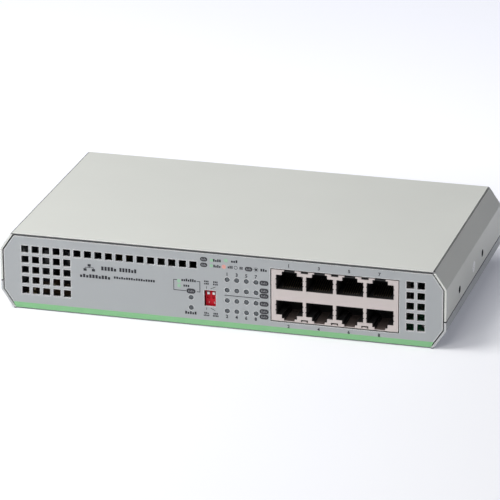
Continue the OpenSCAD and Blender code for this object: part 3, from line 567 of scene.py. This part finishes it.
# plain pictogram of three linked boxes, with greeked lines beside and under it
ix, iz = Lx - 65.2, Lz - 0.3
for dx, dz in ((0.0, 0.95), (-2.0, -1.25), (2.0, -1.25)):
    dark.append(bar((ix + dx - 0.75) * MM, (iz + dz - 0.6) * MM, (ix + dx + 0.75) * MM, (iz + dz + 0.6) * MM))
dark.append(bar((ix - 0.12) * MM, (iz - 0.35) * MM, (ix + 0.12) * MM, (iz + 0.35) * MM))
dark.append(bar((ix - 2.12) * MM, (iz - 0.22) * MM, (ix - 0.12) * MM, (iz + 0.02) * MM))
dark.append(bar((ix + 0.12) * MM, (iz - 0.22) * MM, (ix + 2.12) * MM, (iz + 0.02) * MM))
for dx in (-2.0, 2.0):
    dark.append(bar((ix + dx - 0.12) * MM, (iz - 0.65) * MM, (ix + dx + 0.12) * MM, (iz - 0.22) * MM))
dark += dashes(Lx - 55.9, Lz - 0.25, 5, 1.9, 1.10, 0.40) + dashes(Lx - 46.8, Lz - 0.15, 6, 1.9, 1.00, 0.40)
dark += dashes(Lx - 62.5, Lz - 4.55, 10, 1.7, 1.10, 0.38) + dashes(Lx - 43.8, Lz - 4.1, 17, 1.1, 0.86, 0.30)
for x, z in ((Dx - 1.75, 21.9), (Dx + 2.5, 21.9)):
    dark += dashes(x, z, 3, 0.8, 0.55, 0.2) + dashes(x, z - 1.1, 3, 0.8, 0.6, 0.2)
for x, z in ((Dx - 1.8, 6.6), (Dx + 2.5, 6.6)):
    dark += dashes(x, z, 3, 0.8, 0.55, 0.2) + dashes(x, z - 1.1, 4, 0.8, 0.5, 0.2)
dark.append(stroke((Dx - 1.7) * MM, 18.4 * MM, (Dx - 1.7) * MM, 19.4 * MM, 0.25 * MM))
dark.append(stroke((Dx + 0.4) * MM, 18.6 * MM, (Dx + 2.4) * MM, 19.5 * MM, 0.25 * MM))
dark.append(stroke((Dx - 1.7) * MM, 8.3 * MM, (Dx - 1.7) * MM, 9.2 * MM, 0.25 * MM))
dark.append(stroke((Dx + 0.4) * MM, 9.0 * MM, (Dx + 2.2) * MM, 8.2 * MM, 0.25 * MM))
# blinking mark: a small dot with short rays
sx, sz = Lx + 13.56, Lz + 6.13
dark.append(disc(sx * MM, sz * MM, 0.55 * MM, 16))
for k in range(8):
    c, s = math.cos(k * math.pi / 4), math.sin(k * math.pi / 4)
    dark.append(stroke((sx + 0.62 * c) * MM, (sz + 0.62 * s) * MM, (sx + 1.15 * c) * MM, (sz + 1.15 * s) * MM, 0.18 * MM))
dark += ring((Lx + 4.09) * MM, (Lz + 6.2) * MM, 0.85 * MM, 0.2 * MM)
prisms("panel_print_dark", dark, ink_dark)
prisms("panel_print_pills", pills, ink_pill)
prisms("panel_print_pill_marks", inner, ink_light, front=0.00005, back=0.00003)
prisms("panel_print_green_dots", [disc((Lx - 7.2) * MM, (Lz + 8.7) * MM, 0.80 * MM), disc((Lx - 0.5) * MM, (Lz + 9.2) * MM, 0.90 * MM),
        disc((Lx - 7.3) * MM, (Lz + 6.1) * MM, 0.80 * MM), disc((Sx - 5.7) * MM, (Sz[0] + 7.4) * MM, 0.85 * MM),
        disc((Sx - 5.6) * MM, (Sz[0] + 5.2) * MM, 0.85 * MM)], ink_pale_green)
prisms("panel_print_pink_dot", [disc((Lx - 1.47) * MM, (Lz + 6.16) * MM, 1.0 * MM)], ink_pink)

# numerals over and under the indicator columns and the jacks
nums = []
for i in range(4):
    nums.append((str(2 * i + 1), (Lx + i * PX) * MM, (Lz + 2.7) * MM))
    nums.append((str(2 * i + 2), (Lx + i * PX - 0.15) * MM, (Lz - 3 * PZ - 2.6) * MM))
    px = Jx + (i - 1.5) * PP
    nums.append((str(2 * i + 1), (px - 0.3) * MM, (shT + 2.3) * MM))
    nums.append((str(2 * i + 2), (px - 0.4) * MM, (shB - 2.3) * MM))
digits("panel_numerals", nums, 2.15 * MM, ink_dark)
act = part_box("dip_actuator_1")
digits("switch_numerals", [("1", (Dx - 1.05) * MM, 11.2 * MM), ("2", (Dx + 1.45) * MM, 11.2 * MM)], 1.2 * MM, ink_mark, y=DP_LO.y)

# green band along the foot of the panel, ending just above the fold
def band(name, mat):
    prof = [(0.0, 3.15), (0.0, 2.0), (0.0, 0.62)]
    lift = 0.03
    bm = bmesh.new()
    rows = []
    for dy, z in prof:
        oy, oz = -lift, 0.0
        w = 97.75 + 0.40 * max(0.0, z - 0.8)
        ends = [-w - 0.2, w + 0.05]
        rows.append([bm.verts.new((x * MM, YP + (dy + o * oy) * MM, (z + o * oz) * MM)) for o in (1, 0.05) for x in ends])
    for a, b in zip(rows, rows[1:]):
        bm.faces.new((a[0], a[1], b[1], b[0]))
        bm.faces.new((a[3], a[2], b[2], b[3]))
        bm.faces.new((a[0], b[0], b[2], a[2]))
        bm.faces.new((a[1], a[3], b[3], b[1]))
    bm.faces.new((rows[0][0], rows[0][2], rows[0][3], rows[0][1]))
    bm.faces.new((rows[-1][0], rows[-1][1], rows[-1][3], rows[-1][2]))
    bmesh.ops.recalc_face_normals(bm, faces=bm.faces)
    me = bpy.data.meshes.new(name)
    bm.to_mesh(me)
    bm.free()
    o = bpy.data.objects.new(name, me)
    scene.collection.objects.link(o)
    me.materials.append(mat)
    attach(o, "case")
    return o

band("panel_green_band", ink_green)

# ------------------------------------------------------------------ stage
def stage_floor():
    bm = bmesh.new()
    bmesh.ops.create_grid(bm, x_segments=2, y_segments=2, size=12.0)
    me = bpy.data.meshes.new("floor")
    bm.to_mesh(me)
    bm.free()
    o = bpy.data.objects.new("floor", me)
    o.location = (0, 0, -0.00005)
    scene.collection.objects.link(o)
    m = Mat("floor_paper")
    m.link(m.ramp(m.noise(3.0, 2.0), [(0.3, (0.73, 0.73, 0.73)), (0.7, (0.75, 0.75, 0.75))]), m.b.inputs["Base Color"])
    m.b.inputs["Emission Color"].default_value = (0.92, 0.945, 1.08, 1)
    # painted light: the floor glows by itself, weakly in front and more on the sweep behind the object, in place of a
    # backdrop lamp
    xyz = m.t.nodes.new("ShaderNodeSeparateXYZ")
    m.link(m.tc.outputs["Object"], xyz.inputs[0])
    m.link(m.span(xyz.outputs["Y"], 0.16, 0.39, 0.06, 0.20), m.b.inputs["Emission Strength"])
    m.b.inputs["Roughness"].default_value = 0.9
    m.b.inputs["Specular IOR Level"].default_value = 0.0
    me.materials.append(m.m)

stage_floor()

world = bpy.data.worlds.new("studio")
scene.world = world
world.use_nodes = True
world.node_tree.nodes["Background"].inputs["Color"].default_value = (0.94, 0.96, 1.08, 1)
world.node_tree.nodes["Background"].inputs["Strength"].default_value = 0.12


def softbox(name, loc, target, size, power, tint=(1.0, 1.0, 1.0)):
    d = bpy.data.lights.new(name, "AREA")
    d.shape = "SQUARE"
    d.size = size
    d.energy = power
    d.color = tint
    o = bpy.data.objects.new(name, d)
    o.location = loc
    o.rotation_mode = "QUATERNION"
    o.rotation_quaternion = (Vector(target) - Vector(loc)).to_track_quat("-Z", "Y")
    scene.collection.objects.link(o)


softbox("key", (-0.52, -0.28, 0.80), (0.0, 0, 0), 0.6, 9.4)
softbox("front", (-0.3, -2.0, 1.7), (0, 0, 0), 1.0, 21.2)
softbox("overhead", (-0.1, 0.25, 1.3), (0, 0, 0), 0.9, 1.9, (0.94, 0.97, 1.10))

# ------------------------------------------------------------------ camera
az, el, roll = math.radians(15.654), math.radians(20.681), math.radians(-0.347)
back = Vector((math.sin(az) * math.cos(el), -math.cos(az) * math.cos(el), math.sin(el)))
fwd = -back
right = fwd.cross(Vector((0, 0, 1))).normalized()
up = right.cross(fwd)
r2 = math.cos(roll) * right + math.sin(roll) * up
u2 = -math.sin(roll) * right + math.cos(roll) * up
eye = Vector((449.643, -1554.562, 648.457)) * MM + Vector((0, YP, 0))
cd = bpy.data.cameras.new("camera")
cd.sensor_width = 36.0
cd.lens = 3847.4 / 500 * 36
cd.clip_start, cd.clip_end = 0.05, 60.0
cam = bpy.data.objects.new("camera", cd)
cam.matrix_world = Matrix(((r2.x, u2.x, back.x, eye.x), (r2.y, u2.y, back.y, eye.y), (r2.z, u2.z, back.z, eye.z), (0, 0, 0, 1)))
scene.collection.objects.link(cam)
scene.camera = cam
scene.view_settings.view_transform = "Standard"
scene.view_settings.look = "None"
